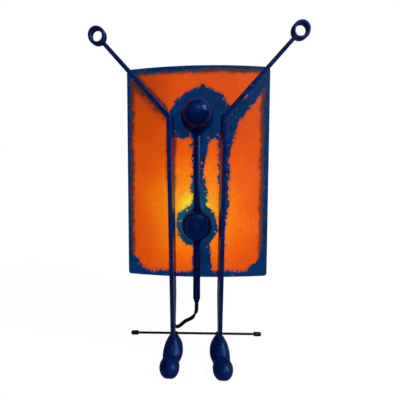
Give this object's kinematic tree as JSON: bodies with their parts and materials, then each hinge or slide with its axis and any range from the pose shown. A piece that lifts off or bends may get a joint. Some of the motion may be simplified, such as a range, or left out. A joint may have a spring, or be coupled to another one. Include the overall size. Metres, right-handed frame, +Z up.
{
  "type": "table lamp",
  "caption": "Table lamp shaped as a stick figure of bent bars with raised arms, in front of a curved, back-lit translucent screen.",
  "frame": {"origin": "middle of the lamp's footprint, on the surface that it stands on, measured without its cord", "axes": "+Z up, +X to the lamp's left hand as it faces the viewer, +Y from its toes towards the bulb behind the screen"},
  "size_m": [0.2336, 0.3557, 0.4098],
  "materials": {
    "blue_paint": "gloss",
    "knob_gloss": "gloss",
    "screen_sheet": "satin",
    "zinc_steel": "zinc plated",
    "black_steel": "satin",
    "black_rubber": "matte",
    "black_cord": "satin",
    "black_plastic": "satin",
    "white_plastic": "matte",
    "pin_metal": "polished",
    "bulb_glass": "frosted",
    "bulb_metal": "plain",
    "bulb_core": "clear"
  },
  "bodies": {
    "base": {"heel_strap_left": "blue_paint", "heel_strap_right": "blue_paint", "limb_left": "blue_paint", "limb_right": "blue_paint", "hand_ring_left": "blue_paint", "hand_ring_right": "blue_paint", "shoe_left": "blue_paint", "shoe_right": "blue_paint", "spine_lower": "blue_paint", "spine_upper": "blue_paint", "spine_cap": "blue_paint", "belly_housing": "blue_paint", "head_cup": "blue_paint", "screen": "screen_sheet", "back_plate": "zinc_steel", "bracket": "zinc_steel", "limb_screws": "zinc_steel", "limb_spacers": "zinc_steel", "shoe_screws": "zinc_steel", "strap_screws": "zinc_steel", "bracket_screws": "zinc_steel", "head_nuts": "zinc_steel", "head_stud": "zinc_steel", "belly_base": "zinc_steel", "belly_nuts": "zinc_steel", "belly_nipple": "zinc_steel", "holder_nuts": "zinc_steel", "holder_nipple": "zinc_steel", "switch_nut": "zinc_steel", "floor_rod": "black_steel", "rod_tip_left": "black_rubber", "rod_tip_right": "black_rubber", "sole_pad_left": "black_rubber", "sole_pad_right": "black_rubber", "cord": "black_cord", "cord_coil": "black_cord", "cord_end": "black_cord", "lead_spine": "black_cord", "lead_lamp": "black_cord", "plug_body": "black_plastic", "switch_body": "black_plastic", "holder_shell": "black_plastic", "holder_insert": "white_plastic", "plug_pins": "pin_metal", "holder_sleeve": "pin_metal", "holder_contact": "pin_metal"},
    "knob": {"belly_knob": "knob_gloss", "switch_shaft": "pin_metal"},
    "head": {"head_ball": "blue_paint"},
    "bulb": {"bulb_glass": "bulb_glass", "bulb_cap": "bulb_metal", "bulb_stem": "bulb_core"}
  },
  "joints": [
    {"name": "knob_turn", "type": "hinge", "parent": "base", "child": "knob", "pos_m": [0, 0.0083, 0.17385], "axis": [0, -0.9863, 0.165], "range_deg": [-150, 150]},
    {"name": "head_turn", "type": "hinge", "parent": "base", "child": "head", "pos_m": [0, 0.03279, 0.32022], "axis": [0, -0.9863, 0.165], "continuous": true},
    {"name": "bulb_turn", "type": "hinge", "parent": "base", "child": "bulb", "pos_m": [0, 0.059, 0.19204], "axis": [0, 0.165, 0.9863], "continuous": true}
  ]
}
